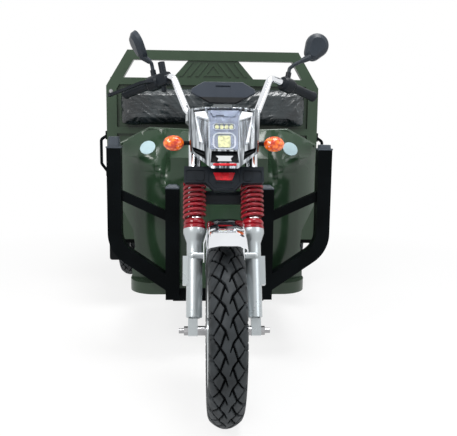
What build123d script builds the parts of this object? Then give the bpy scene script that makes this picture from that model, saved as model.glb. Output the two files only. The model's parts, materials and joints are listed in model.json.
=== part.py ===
from build123d import *
from math import atan2, cos, degrees, radians, sin
import os

# Three-wheeled electric cargo scooter: a motorcycle front end, leg shields and a
# bench seat for the driver, and an open drop-side cargo bed over the rear axle.
# Millimetres. The vehicle faces -Y, +X is its left, +Z is up, and the origin is on
# the ground under the middle of the overall box.

# Wheels
tyre_radius = 254
tyre_width = 98
rim_radius = 152
wheelbase = 1700
rear_track = 860

# Main lengths, measured back from the front axle
headboard_reach = 1340
bed_length = 1150
shield_reach = 462
seat_reach = 1000

# Cargo bed
bed_half = 500
floor_top = 590
floor_sheet = 4
crossbar_height = 40
rail_height = 45
rail_width = 40
rail_half = 270
panel_height = 300
panel_thick = 30
panel_gap = 3
hinge_out = 5
knuckle_radius = 5
seat_gap = 0.3

overall_length = tyre_radius + headboard_reach + bed_length + hinge_out + knuckle_radius
front_axle_y = tyre_radius - overall_length / 2
rear_axle_y = front_axle_y + wheelbase
headboard_y = front_axle_y + headboard_reach
bed_end_y = headboard_y + bed_length
seat_front_y = front_axle_y + seat_reach
axle_z = tyre_radius
crossbar_bottom = floor_top - floor_sheet - crossbar_height
rail_bottom = crossbar_bottom - rail_height

# Front fork, in its own frame: x across, y back and z up along the legs
rake = 24
leg_half = 83
steer_offset = 38
slider_radius = 22
slider_top = 284
stanchion_radius = 18.5
stanchion_gap = 0.3
stanchion_foot = 200
collar_height = 28
spring_radius = 29.3
spring_wire = 4.5
spring_pitch = 14
lower_yoke_s = 424
lower_yoke_thick = 28
upper_yoke_s = 612
upper_yoke_thick = 22
stem_radius = 15
lug_width = 26
axle_radius = 7

fork = Plane(
    origin=(0, front_axle_y, axle_z),
    x_dir=(1, 0, 0),
    z_dir=(0, sin(radians(rake)), cos(radians(rake))),
)
steer_line = Plane(
    origin=fork.from_local_coords((0, steer_offset, 0)),
    x_dir=fork.x_dir,
    z_dir=fork.z_dir,
)
os.makedirs("parts", exist_ok=True)


def block(x, y, z, mode=Mode.ADD):
    """A box between two values on each axis."""
    middle = ((x[0] + x[1]) / 2, (y[0] + y[1]) / 2, (z[0] + z[1]) / 2)
    with Locations(middle):
        Box(x[1] - x[0], y[1] - y[0], z[1] - z[0], mode=mode)


def both(low, high, side):
    """A range on X, taken to the side's half of the vehicle."""
    return tuple(sorted((side * low, side * high)))


def rod(start, end, radius, mode=Mode.ADD):
    """A round bar from one point to another."""
    way = Vector(*end) - Vector(*start)
    with BuildSketch(Plane(origin=start, z_dir=way)) as section:
        Circle(radius)
    extrude(section.sketch, amount=way.length, mode=mode)


def turned(plane, profile, mode=Mode.ADD):
    """Revolves points (radius, height) about the plane's own normal."""
    with BuildSketch(Plane(plane.origin, x_dir=plane.x_dir, z_dir=-plane.y_dir)) as section:
        with BuildLine():
            Polyline(*profile, close=True)
        make_face()
    revolve(section.sketch, axis=Axis(plane.origin, plane.z_dir), mode=mode)


def leg_plane(side):
    """The fork's frame moved to one leg's axis."""
    return Plane(
        origin=fork.from_local_coords((side * leg_half, 0, 0)),
        x_dir=fork.x_dir,
        z_dir=fork.z_dir,
    )


# Cast lower legs with a spring cup, a fender boss, a flat pad and the axle lug
cup_radius = 31.8
bore_radius = stanchion_radius + stanchion_gap
boss_s = 205
pad_length = 80
pad_out = 10
tab_x = 58.3
lug_top = 32
lug_bottom = -14
lug_shift = 3
with BuildPart() as fork_sliders:
    for side in (-1, 1):
        leg = leg_plane(side)
        turned(
            leg,
            [
                (0, lug_top - 4),
                (slider_radius, lug_top + 4),
                (slider_radius, slider_top - 40),
                (cup_radius, slider_top - 12),
                (cup_radius, slider_top),
                (0, slider_top),
            ],
        )
        with Locations(leg * Location((side * lug_shift, 0, (lug_top + lug_bottom) / 2))):
            Box(lug_width, lug_width, lug_top - lug_bottom)
        with Locations(leg * Location((side * (slider_radius + pad_out / 2 - 3), 0, boss_s - pad_length / 2))):
            Box(pad_out + 6, 26, pad_length)
        # rounded boss across the front that carries the fender's tab
        boss_end = leg.from_local_coords((side * 4, -slider_radius + 5, boss_s))
        rod(boss_end, boss_end - Vector(side * (leg_half + 4 - tab_x), 0, 0), 10)
        with Locations(boss_end):
            Sphere(10.5)
        with BuildSketch(leg.offset(stanchion_foot)):
            Circle(bore_radius)
        extrude(amount=slider_top, mode=Mode.SUBTRACT)
        with Locations(leg * Location((side * lug_shift, 0, 0), (0, 90, 0))):
            Cylinder(axle_radius + 0.2, lug_width + 2, mode=Mode.SUBTRACT)

# Chromed upper tubes
stanchion_top = upper_yoke_s + upper_yoke_thick + 3
with BuildPart() as fork_stanchions:
    for side in (-1, 1):
        leg = leg_plane(side)
        with BuildSketch(leg.offset(stanchion_foot + stanchion_gap)):
            Circle(stanchion_radius)
        extrude(amount=stanchion_top - stanchion_foot - stanchion_gap)

# Coil springs on their threaded collars
spring_foot = slider_top + seat_gap + collar_height + seat_gap + spring_wire
spring_head = lower_yoke_s - seat_gap - spring_wire
with BuildPart() as fork_springs:
    for side in (-1, 1):
        leg = leg_plane(side)
        low = slider_top + seat_gap
        turned(
            leg,
            [
                (bore_radius, low), (cup_radius - 0.5, low), (cup_radius, low + 5), (cup_radius - 1, low + 10),
                (cup_radius - 4, low + 12), (cup_radius - 0.5, low + 15), (cup_radius - 1, low + 22),
                (cup_radius - 5, low + collar_height), (bore_radius, low + collar_height),
            ],
        )
        with BuildLine() as coil:
            Helix(
                spring_pitch, spring_head - spring_foot, spring_radius,
                center=leg.from_local_coords((0, 0, spring_foot)), direction=leg.z_dir,
            )
        with BuildSketch(Plane(origin=coil.line @ 0, z_dir=coil.line % 0)):
            Circle(spring_wire)
        sweep(path=coil.line, is_frenet=True)


def yoke_sketch(leg_eye, stem_eye):
    """The clamp's outline: the hull of its three eyes."""
    with Locations((-leg_half, 0), (leg_half, 0)):
        Circle(leg_eye)
    with Locations((0, steer_offset)):
        Circle(stem_eye)
    make_hull()
    with Locations((-leg_half, 0), (leg_half, 0)):
        Circle(stanchion_radius + 0.2, mode=Mode.SUBTRACT)


# Lower clamp with the steering stem, and the upper clamp with the bar clamps
bar_radius = 11
bar_s = upper_yoke_s + upper_yoke_thick + 22
with BuildPart() as steering_yokes:
    with BuildSketch(fork.offset(lower_yoke_s)):
        yoke_sketch(30, 28)
    extrude(amount=lower_yoke_thick)
    with BuildSketch(steer_line.offset(lower_yoke_s)):
        Circle(stem_radius)
    extrude(amount=upper_yoke_s + upper_yoke_thick - lower_yoke_s)
    with BuildSketch(fork.offset(upper_yoke_s)):
        yoke_sketch(28, 26)
    extrude(amount=upper_yoke_thick)
    for side in (-1, 1):
        with Locations(fork * Location((side * 45, steer_offset - 8, (upper_yoke_s + upper_yoke_thick + bar_s + 14) / 2))):
            Box(26, 34, bar_s + 14 - upper_yoke_s - upper_yoke_thick)
    # bracket under the instrument pod
    block((-45, 45), (front_axle_y + 266, front_axle_y + 290), (846, 860))
    block((-28, 28), (front_axle_y + 268, front_axle_y + 284), (859, 871.1))
    bar_middle = fork.from_local_coords((0, steer_offset - 8, bar_s))
    with Locations(Location(bar_middle, (0, 90, 0))):
        Cylinder(bar_radius + 0.2, 300, mode=Mode.SUBTRACT)

# Handlebar: a tube with tall risers and grips that drop outward
riser_foot_x = 104
bend_x, bend_back, bend_up = 153, 58, 116
grip_x, grip_back, grip_up = 311, 185, 66
bend_radius = 26
bar_points = [
    bar_middle + Vector(side * x, back, up)
    for side, x, back, up in (
        (-1, grip_x, grip_back, grip_up),
        (-1, bend_x, bend_back, bend_up),
        (-1, riser_foot_x, 0, 0),
        (1, riser_foot_x, 0, 0),
        (1, bend_x, bend_back, bend_up),
        (1, grip_x, grip_back, grip_up),
    )
]
with BuildPart() as handlebar:
    with BuildLine() as bar_path:
        FilletPolyline(*bar_points, radius=bend_radius)
    with BuildSketch(Plane(origin=bar_path.line @ 0, z_dir=bar_path.line % 0)):
        Circle(bar_radius)
    sweep(path=bar_path.line)


def bar_end_plane(side):
    """A frame on the bar's outer stretch: origin at its end, z towards the middle."""
    end = bar_middle + Vector(side * grip_x, grip_back, grip_up)
    bend = bar_middle + Vector(side * bend_x, bend_back, bend_up)
    return Plane(origin=end, x_dir=(0, 0, 1), z_dir=bend - end)


# Rubber grips, closed at their outer ends
grip_radius = 16
grip_length = 108
grip_end = 4
with BuildPart() as grips:
    for side in (-1, 1):
        turned(
            bar_end_plane(side),
            [
                (0, -grip_end),
                (grip_radius + 1, -grip_end),
                (grip_radius + 1, 2),
                (grip_radius - 1, 6),
                (grip_radius - 1, grip_length - 8),
                (grip_radius + 4, grip_length - 4),
                (grip_radius + 4, grip_length),
                (bar_radius + 0.2, grip_length),
                (bar_radius + 0.2, -seat_gap),
                (0, -seat_gap),
            ],
        )

# Switch housings, and the front brake lever on the vehicle's right
housing_start = grip_length + 1
housing_length = 46
housing_radius = 24
lever_thick = 9
with BuildPart() as hand_controls:
    for side in (-1, 1):
        plane = bar_end_plane(side)
        turned(
            plane,
            [
                (bar_radius + 0.2, housing_start),
                (housing_radius - 4, housing_start),
                (housing_radius, housing_start + 6),
                (housing_radius, housing_start + housing_length - 8),
                (housing_radius - 5, housing_start + housing_length),
                (bar_radius + 0.2, housing_start + housing_length),
            ],
        )
        # mirror boss on top
        rod(
            plane.from_local_coords((housing_radius - 6, 0, housing_start + 24)),
            plane.from_local_coords((housing_radius + 16, 0, housing_start + 24)),
            9,
        )
    right = bar_end_plane(-1)
    forward = right.y_dir if right.y_dir.Y < 0 else -right.y_dir
    with BuildSketch(Plane(right.origin, x_dir=right.z_dir, z_dir=right.z_dir.cross(forward))):
        with BuildLine():
            Polyline(
                (150, 16), (142, 46), (118, 56), (40, 53), (-20, 55), (-20, 46), (40, 44), (112, 46), (126, 38),
                (132, 16), close=True,
            )
        make_face()
        with Locations((-24, 50.5)):
            Circle(9)
    extrude(amount=lever_thick / 2, both=True)
    # master cylinder inboard of the lever, with its pot and the banjo fitting below
    with BuildSketch(right.offset(housing_start + housing_length + 1)):
        RectangleRounded(40, 34, 8)
        Circle(bar_radius + 0.2, mode=Mode.SUBTRACT)
    extrude(amount=34)
    pot = housing_start + housing_length + 18
    rod(right.from_local_coords((14, 0, pot)), right.from_local_coords((54, 0, pot)), 11)
    rod(right.from_local_coords((-14, 0, pot - 6)), right.from_local_coords((-38, 0, pot - 10)), 8)
    add(grips.part)

# Rear-view mirrors: shells on bent stems, glass towards the driver
mirror_round, mirror_narrow = 38, 28
mirror_deep = 24
glass_thick = 3


def mirror_frame(side):
    """Where a mirror head stands: its glass looks along z, its narrow end lies along y."""
    if side > 0:
        return Plane(bar_middle + Vector(302, 108, 216), x_dir=(0.85, 0, -0.53), z_dir=(0, 1, 0))
    return Plane(bar_middle + Vector(-256, 108, 216), x_dir=(0.297, -0.945, 0.145), z_dir=(0.85, 0.33, 0.41))


def mirror_outline(less):
    """The egg-shaped outline of a head, shrunk all round."""
    with Locations((0, -8)):
        Circle(mirror_round - less)
    with Locations((0, 18)):
        Circle(mirror_narrow - less)
    make_hull()


with BuildPart() as mirrors:
    for side in (-1, 1):
        head = mirror_frame(side)
        for back, less in ((0, 0), (13, 3), (24, 15)):
            with BuildSketch(head.offset(-back)):
                mirror_outline(less)
        loft(ruled=True)
        clamp = bar_end_plane(side)
        boss_top = housing_radius + 16
        foot = clamp.from_local_coords((boss_top + seat_gap, 0, housing_start + 24))
        root = clamp.from_local_coords((boss_top + 14, 0, housing_start + 24))
        neck = head.from_local_coords((0, 36, -12))
        knee = foot + (neck - foot) * 0.45 + Vector(-side * 10, 0, 4)
        with BuildLine() as stem_path:
            FilletPolyline(foot, root, knee, neck, radius=8)
        with BuildSketch(Plane(origin=stem_path.line @ 0, z_dir=stem_path.line % 0)):
            Circle(6)
        sweep(path=stem_path.line)
        # tapered sleeve at the head
        sleeve = Plane(origin=neck + (neck - knee).normalized() * 4, z_dir=knee - neck)
        with BuildSketch(sleeve):
            Circle(12)
        with BuildSketch(sleeve.offset(34)):
            Circle(8)
        loft(ruled=True)
        with BuildSketch(head.offset(-glass_thick)):
            mirror_outline(3)
        extrude(amount=glass_thick + 16, mode=Mode.SUBTRACT)

with BuildPart() as mirror_glass:
    for side in (-1, 1):
        with BuildSketch(mirror_frame(side).offset(-glass_thick)):
            mirror_outline(3.3)
        extrude(amount=glass_thick - 0.5)

# Front fender: a crowned strip rolled round the wheel, with stays to the legs
fender_radius = 306
fender_half = 49
fender_thick = 2.5
fender_front, fender_back = 30, 72
wheel_x = Axis((0, front_axle_y, axle_z), (1, 0, 0))


def rim_plane(centre, angle):
    """A section plane through a wheel's axle: y points out along the radius."""
    a = radians(angle)
    out = Vector(0, -sin(a), cos(a))
    return Plane(origin=centre, x_dir=(1, 0, 0), z_dir=Vector(1, 0, 0).cross(out))


front_hub = Vector(0, front_axle_y, axle_z)
with BuildPart() as front_fender:
    with BuildSketch(rim_plane(front_hub, fender_front)):
        with BuildLine():
            for half, top in ((fender_half, fender_radius), (fender_half - fender_thick, fender_radius - fender_thick)):
                FilletPolyline(
                    (-half, fender_radius - 26), (-half, top - 7), (-half * 0.45, top), (half * 0.45, top),
                    (half, top - 7), (half, fender_radius - 26), radius=9,
                )
            for end in (-1, 1):
                Line((end * fender_half, fender_radius - 26), (end * (fender_half - fender_thick), fender_radius - 26))
        make_face()
    revolve(axis=wheel_x, revolution_arc=-(fender_front + fender_back))
    # tabs jog outward past the tyre to the bosses on the legs
    for side in (-1, 1):
        tab = [
            (fender_half, 284), (fender_half, 272), (tab_x - seat_gap, 242), (tab_x - seat_gap, 192),
            (tab_x - 2.8, 192), (tab_x - 2.8, 242), (fender_half - fender_thick, 272),
            (fender_half - fender_thick, 284),
        ]
        with BuildSketch(Plane(fork.from_local_coords((0, -16, 0)), x_dir=(1, 0, 0), z_dir=-fork.y_dir)):
            with BuildLine():
                Polyline(*[(side * x, z) for x, z in tab], close=True)
            make_face()
        extrude(amount=-32)

# Front axle with its spacers and nuts
hub_half = 48
axle_half = 124
with BuildPart() as front_axle:
    rod(front_hub - Vector(axle_half, 0, 0), front_hub + Vector(axle_half, 0, 0), axle_radius)
    for side in (-1, 1):
        inner = leg_half + lug_shift - lug_width / 2
        rod(
            front_hub + Vector(side * (hub_half + seat_gap), 0, 0),
            front_hub + Vector(side * inner, 0, 0),
            13,
        )
        face = front_hub + Vector(side * (leg_half + lug_shift + lug_width / 2), 0, 0)
        with BuildSketch(Plane(origin=face, x_dir=(0, 1, 0), z_dir=(side, 0, 0))):
            RegularPolygon(12.5, 6)
        extrude(amount=11)


def build_tyre(centre):
    """A tyre: one revolved section, seated on the rim."""
    half = tyre_width / 2
    with BuildSketch(Plane(origin=centre, x_dir=(1, 0, 0), z_dir=(0, -1, 0))) as section:
        with BuildLine():
            crown = ThreePointArc((-half + 12, tyre_radius - 16), (0, tyre_radius), (half - 12, tyre_radius - 16))
            wall = ThreePointArc(crown @ 1, (half, tyre_radius - 48), (half - 13, rim_radius + 10))
            Polyline(
                wall @ 1, (half - 13, rim_radius + seat_gap), (13 - half, rim_radius + seat_gap),
                (13 - half, rim_radius + 10),
            )
            ThreePointArc((13 - half, rim_radius + 10), (-half, tyre_radius - 48), crown @ 0)
        make_face()
    revolve(section.sketch, axis=Axis(centre, (1, 0, 0)))


def build_rim(centre, hub_radius, bore, holes):
    """A pressed wheel: rim barrel, dished web with round holes, and hub."""
    half = tyre_width / 2 - 8
    turned(
        Plane(origin=centre, x_dir=(0, 0, 1), z_dir=(1, 0, 0)),
        [
            (rim_radius, 12.7 - tyre_width / 2),
            (rim_radius, tyre_width / 2 - 12.7),
            (rim_radius + 6, tyre_width / 2 - 12.7),
            (rim_radius + 6, half + 4),
            (rim_radius - 8, half),
            (rim_radius - 14, 14),
            (rim_radius - 60, 6),
            (hub_radius + 12, 12),
            (hub_radius, hub_half),
            (bore, hub_half),
            (bore, -hub_half),
            (hub_radius, -hub_half),
            (hub_radius + 12, 2),
            (rim_radius - 60, -4),
            (rim_radius - 14, 4),
            (rim_radius - 8, -half),
            (rim_radius + 6, -half - 4),
            (rim_radius + 6, 12.7 - tyre_width / 2),
        ],
    )
    with BuildSketch(Plane(origin=centre + Vector(-30, 0, 0), x_dir=(0, 0, 1), z_dir=(1, 0, 0))) as hand_holes:
        with PolarLocations((rim_radius - 14 + hub_radius + 12) / 2 + 2, holes):
            Circle(16)
    extrude(hand_holes.sketch, amount=60, mode=Mode.SUBTRACT)


rear_hubs = {side: Vector(side * rear_track / 2, rear_axle_y, axle_z) for side in (-1, 1)}
shaft_radius = 15
with BuildPart() as front_tyre:
    build_tyre(front_hub)
with BuildPart() as front_rim:
    build_rim(front_hub, 34, axle_radius + seat_gap, 8)
with BuildPart() as rear_tyre_left:
    build_tyre(rear_hubs[1])
with BuildPart() as rear_rim_left:
    build_rim(rear_hubs[1], 38, shaft_radius + seat_gap, 8)
with BuildPart() as rear_tyre_right:
    build_tyre(rear_hubs[-1])
with BuildPart() as rear_rim_right:
    build_rim(rear_hubs[-1], 38, shaft_radius + seat_gap, 8)

# Black shroud in front of the lower clamp, open at the back
shroud_half = 113
shroud_front = -54
shroud_deep = 18
shroud_wall = 4
shroud_s = 422
shroud_outline = [
    (-shroud_half, 33), (-shroud_half, -11), (-shroud_half + 4, -15), (-52, -15), (-48, -20), (-29, -38),
    (29, -38), (48, -20), (52, -15), (shroud_half - 4, -15), (shroud_half, -11), (shroud_half, 33),
]
reflector_outline = [(-22, -9.5), (22, -9.5), (31, 12.5), (-31, 12.5)]
face_plane = Plane(fork.from_local_coords((0, shroud_front, shroud_s)), x_dir=(1, 0, 0), z_dir=-fork.y_dir)
with BuildPart() as yoke_shroud:
    with BuildSketch(face_plane) as shroud_face:
        with BuildLine():
            Polyline(*shroud_outline, close=True)
        make_face()
    extrude(amount=-shroud_deep)
    with BuildSketch(face_plane.offset(-shroud_wall)):
        add(shroud_face.sketch_local)
        offset(amount=-shroud_wall, kind=Kind.INTERSECTION, mode=Mode.REPLACE)
    extrude(amount=-shroud_deep, mode=Mode.SUBTRACT)
    for ahead, less in ((-1, 0), (4, 3)):
        with BuildSketch(face_plane.offset(ahead)):
            with BuildLine():
                Polyline(
                    (less - 45, 31 - less), (less - 45, less - 16), (less - 28, less - 35),
                    (28 - less, less - 35), (45 - less, less - 16), (45 - less, 31 - less), close=True,
                )
            make_face()
    loft(ruled=True)
    with BuildSketch(face_plane.offset(5)):
        with Locations(*[(7.3 * (i - 3), -18) for i in range(7)]):
            RectangleRounded(3, 6, 1.2)
    extrude(amount=-4, mode=Mode.SUBTRACT)
    for side in (-1, 1):
        # recessed square panel with its raised pad, and the peg that seats on the clamp's eye
        with BuildSketch(face_plane.offset(-3)):
            with Locations((side * 80.5, 5)):
                RectangleRounded(54, 34, 6)
        extrude(amount=4, mode=Mode.SUBTRACT)
        with BuildSketch(face_plane.offset(-4)):
            with Locations((side * 68, 5)):
                RectangleRounded(23, 29, 9)
        extrude(amount=3.4)
        peg = -shroud_front - shroud_wall - 30 - seat_gap
        with BuildSketch(face_plane.offset(-shroud_wall + 0.5)):
            with Locations((side * leg_half, lower_yoke_s + 12 - shroud_s)):
                Circle(8)
        extrude(amount=-peg - 0.5)

with BuildPart() as shroud_reflector:
    with BuildSketch(face_plane.offset(4 + seat_gap)):
        with BuildLine():
            Polyline(*reflector_outline, close=True)
        make_face()
    extrude(amount=2.5)

# Headlamp cowl: a bevelled shield that leans back, with its lamp window and side grilles
cowl_tilt = 30
cowl_plane = Plane(
    (0, front_axle_y + 96, 712), x_dir=(1, 0, 0), z_dir=(0, -cos(radians(cowl_tilt)), sin(radians(cowl_tilt)))
)
cowl_deep = 40
cowl_bevel = 6
window_deep = 16
cowl_wall = 4
# Outlines on the cowl's plane: half width and height up the plane
cowl_half = [(37, -22), (95, 27), (97, 52), (105, 166), (56, 174)]
window_half = [(38, 33), (52, 44), (71, 57), (88, 160), (54, 167)]
grille_half = [(55, 27), (90, 41), (86, 26), (52, 0)]
plate_half = [(36, 28), (40, -8)]


def outline(points, scale=1.0, shift=0):
    """A symmetric outline from its right half, shrunk about the cowl's middle height."""
    right = [(x * scale, 75 + (y - 75) * scale + shift) for x, y in points]
    left = [(-x, y) for x, y in reversed(right)]
    with BuildLine() as edge:
        Polyline(*right, *left, close=True)
    make_face(edge.edges())


with BuildPart() as headlamp_cowl:
    with BuildSketch(cowl_plane.offset(-cowl_bevel)):
        outline(cowl_half)
    extrude(amount=cowl_bevel, taper=35)
    with BuildSketch(cowl_plane.offset(-cowl_bevel)):
        outline(cowl_half)
    extrude(amount=cowl_deep, dir=(0, 1, 0))
    with BuildSketch(cowl_plane.offset(-window_deep - cowl_wall)):
        outline(cowl_half, 0.94)
    extrude(amount=cowl_deep + 20, dir=(0, 1, 0), mode=Mode.SUBTRACT)
    with BuildSketch(cowl_plane.offset(1)):
        outline(window_half)
        outline(plate_half)
        for side in (-1, 1):
            with BuildLine() as opening:
                Polyline(*[(side * x, y) for x, y in grille_half], close=True)
            make_face(opening.edges())
    extrude(amount=-window_deep - 1, mode=Mode.SUBTRACT)
    # ears that reach back to the fork tubes
    ear_z = 765
    ear_end = front_axle_y + (ear_z - 3 - axle_z) * sin(radians(rake)) / cos(radians(rake))
    ear_end = ear_end - stanchion_radius / cos(radians(rake)) - seat_gap
    for side in (-1, 1):
        block(both(78, 95, side), (front_axle_y + 150, ear_end), (ear_z - 3, ear_z + 3))

with BuildPart() as headlamp_lens:
    with BuildSketch(cowl_plane.offset(-4)):
        outline(window_half, 0.994)
    extrude(amount=3)

# Black inserts: side grilles with slanted slats, and the plate under the lamp
with BuildPart() as cowl_grilles:
    floor = -window_deep + seat_gap
    with BuildSketch(cowl_plane.offset(floor)):
        outline(plate_half, 0.985, -1)
        for side in (-1, 1):
            with BuildLine() as insert:
                Polyline(*[(side * (70.7 + (x - 70.7) * 0.97), 24 + (y - 24) * 0.97) for x, y in grille_half], close=True)
            make_face(insert.edges())
    extrude(amount=4)
    for side in (-1, 1):
        for x0, y0, x1, y1 in ((58, 18, 84, 30), (58, 9, 72, 17)):
            with BuildSketch(cowl_plane.offset(floor + 3)):
                with BuildLine() as slat:
                    Polyline(
                        (side * x0, y0), (side * x1, y1), (side * x1, y1 + 3), (side * x0, y0 + 4), close=True,
                    )
                make_face(slat.edges())
            extrude(amount=8)

# Silver wing trim on the plate, and the dark red strip along the cowl's lower edge
with BuildPart() as wing_trim:
    with BuildSketch(cowl_plane.offset(floor + 4 + seat_gap)):
        outline([(22, -2), (19, 7.5), (28, 18)])
    extrude(amount=6, taper=15)
with BuildPart() as front_reflectors:
    with BuildSketch(cowl_plane.offset(seat_gap)):
        with Locations((0, -14)):
            RectangleRounded(66, 7, 3)
    extrude(amount=4, taper=20)
    add(shroud_reflector.part)

# Lamp housing behind the lens, with a visor, a stepped middle and side ledges
with BuildPart() as lamp_housing:
    with BuildSketch(cowl_plane.offset(floor)):
        outline([(39, 36), (41, 140), (48, 164)])
    extrude(amount=5)
    with BuildSketch(cowl_plane.offset(floor + 4)):
        outline([(33, 142), (45, 165)])
    extrude(amount=6, taper=20)
    with BuildSketch(cowl_plane.offset(floor + 3)):
        with Locations((-12, 145)):
            RectangleRounded(24, 5, 2)
    extrude(amount=10, mode=Mode.SUBTRACT)

lamp_floor = floor + 5 + seat_gap
with BuildPart() as lamp_trim:
    with BuildSketch(cowl_plane.offset(lamp_floor)):
        with Locations((0, 63)):
            RectangleRounded(68, 56, 20)
            RectangleRounded(54, 44, 12, mode=Mode.SUBTRACT)
        with Locations((0, 109)):
            RectangleRounded(66, 23, 11)
            RectangleRounded(58, 16, 7.5, mode=Mode.SUBTRACT)
    extrude(amount=5, taper=12)
    add(wing_trim.part)
with BuildPart() as lamp_leds:
    with BuildSketch(cowl_plane.offset(lamp_floor)):
        with Locations((0, 63)):
            RectangleRounded(35, 36, 4)
        with Locations(*[(13.5 * (i - 1.5), 109) for i in range(4)]):
            Circle(5.5)
    extrude(amount=3)
with BuildPart() as light_guides:
    with BuildSketch(cowl_plane.offset(floor)):
        for side in (-1, 1):
            with BuildLine() as guide:
                Polyline(
                    *[
                        (side * x, y)
                        for x, y in ((84, 157), (52, 161), (44, 133), (80, 146), (61, 60), (70, 60))
                    ],
                    close=True,
                )
            make_face(guide.edges())
    extrude(amount=8)

# Instrument pod on the bar clamps: faceted front, display towards the rider
pod_tilt = 18
pod_deep = 58
pod_plane = Plane(
    (0, front_axle_y + 228, 871.6), x_dir=(1, 0, 0), z_dir=(0, -cos(radians(pod_tilt)), sin(radians(pod_tilt)))
)
pod_half = [(39, 0), (96, 32), (94, 46), (58, 68)]
with BuildPart() as instrument_pod:
    with BuildSketch(pod_plane.offset(-5)) as pod_face:
        outline(pod_half)
    extrude(amount=5, taper=30)
    with BuildSketch(pod_plane.offset(-5)):
        outline(pod_half)
    with BuildSketch(pod_plane.offset(-pod_deep)):
        outline(pod_half, 0.9, 12)
    loft(ruled=True)
    with BuildSketch(pod_plane.offset(-1)):
        with BuildLine():
            Polyline((-23, 55), (23, 55), (21, 5), (-21, 5), close=True)
        make_face()
    extrude(amount=2, mode=Mode.SUBTRACT)
    with BuildSketch(pod_plane.offset(-4)):
        with Locations((0, 52)):
            RectangleRounded(42, 4, 1.5)
    extrude(amount=5, mode=Mode.SUBTRACT)
    with BuildSketch(pod_plane.offset(-pod_deep - 1)):
        with Locations((0, 50)):
            RectangleRounded(104, 44, 6)
    extrude(amount=5, mode=Mode.SUBTRACT)
with BuildPart() as display:
    with BuildSketch(pod_plane.offset(-pod_deep + 1)):
        with Locations((0, 50)):
            RectangleRounded(103.4, 43.4, 6)
    extrude(amount=2.7)

# Front turn signals: oval lenses on short black stalks
signal_x = 143
with BuildPart() as front_signals:
    for side in (-1, 1):
        centre = Vector(side * signal_x, front_axle_y + 150, 756)
        back = Plane(centre, x_dir=(1, 0, 0), z_dir=(0, -1, 0))
        for ahead, less in ((-14, 5), (-4, 0), (4, 0), (14, 6), (20, 16)):
            with BuildSketch(back.offset(ahead)):
                Ellipse(29 - less, 21.5 - less)
        loft(ruled=True)
with BuildPart() as signal_stalks:
    for side in (-1, 1):
        centre = Vector(side * signal_x, front_axle_y + 150, 756)
        back = Plane(centre, x_dir=(1, 0, 0), z_dir=(0, -1, 0))
        for ahead, less in ((-14.3, 4), (-26, 14)):
            with BuildSketch(back.offset(ahead)):
                Ellipse(29 - less, 21.5 - less)
        loft(ruled=True)
        rod(centre + Vector(-side * 10, 20, 0), centre + Vector(-side * 34, 19, 0), 7)
        rod(centre + Vector(-side * 34, 19, 0), centre + Vector(-side * 45.3, 12, 0), 6)
    add(front_signals.part, mode=Mode.SUBTRACT)
    add(headlamp_cowl.part, mode=Mode.SUBTRACT)

floor_half = 309
pan_top = 268
pan_bottom = 228
pan_wall = 4
pan_ceiling = pan_top - pan_wall
pan_front = front_axle_y + 455
seat_half = 440

# Chassis: low rails under the floor, risers inside the seat base, and the bed's rails
low_half = 157
low_rail_z = 227.5
low_rail_height = 45
rail_front = 475
riser_foot = 1200
riser_head = 1308
outrigger_z = (300, 320)
low = (low_rail_z - low_rail_height / 2, low_rail_z + low_rail_height / 2)
with BuildPart() as chassis_frame:
    for side in (-1, 1):
        block(
            both(low_half - 20, low_half + 20, side),
            (front_axle_y + rail_front, front_axle_y + riser_foot + 22),
            low,
        )
        block(
            both(rail_half - 20, rail_half + 20, side),
            (front_axle_y + riser_head - 22, bed_end_y - 40),
            (rail_bottom, rail_bottom + rail_height),
        )
        for z, x, reach in ((low[1] - 5, low_half, riser_foot), (rail_bottom + 5, rail_half, riser_head)):
            with BuildSketch(Plane.XY.offset(z)):
                with Locations((side * x, front_axle_y + reach)):
                    Rectangle(40, 44)
        loft(ruled=True)
        for reach in (seat_reach + 40, riser_foot + 34):
            block(
                both(low_half - 18, low_half + 18, side),
                (front_axle_y + reach - 18, front_axle_y + reach + 18),
                (low[1] - 5, outrigger_z[0] + 5),
            )
    for reach in (rail_front, 760, seat_reach + 40, riser_foot):
        y = front_axle_y + reach
        block((-low_half, low_half), (y - 22, y + 22), low)
    # the tray's bearers, and the outriggers under the seat base
    for reach in (620, 860):
        block((-290, 290), (front_axle_y + reach - 15, front_axle_y + reach + 15), (low[1] - 5, pan_ceiling))
    for reach in (seat_reach + 40, riser_foot + 34):
        y = front_axle_y + reach
        block((-seat_half, seat_half), (y - 18, y + 18), outrigger_z)
    for y in (headboard_y + 70, rear_axle_y - 200, rear_axle_y + 200, bed_end_y - 62):
        block((-rail_half, rail_half), (y - 20, y + 20), (rail_bottom + 5, rail_bottom + rail_height))

# Steering head and its down tube
head_radius = 28
down_radius = 24
with BuildPart() as steering_head:
    with BuildSketch(steer_line.offset(lower_yoke_s + lower_yoke_thick + seat_gap)):
        Circle(head_radius)
    extrude(amount=upper_yoke_s - lower_yoke_s - lower_yoke_thick - 2 * seat_gap)
    with BuildLine() as down_path:
        FilletPolyline(
            steer_line.from_local_coords((0, 10, lower_yoke_s + 110)),
            (0, front_axle_y + 490, 640),
            (0, front_axle_y + 490, low[1]),
            radius=60,
        )
    with BuildSketch(Plane(origin=down_path.line @ 0, z_dir=down_path.line % 0)):
        Circle(down_radius)
    sweep(path=down_path.line)
    with BuildSketch(steer_line.offset(lower_yoke_s)):
        Circle(stem_radius + 0.06)
    extrude(amount=220, mode=Mode.SUBTRACT)

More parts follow.
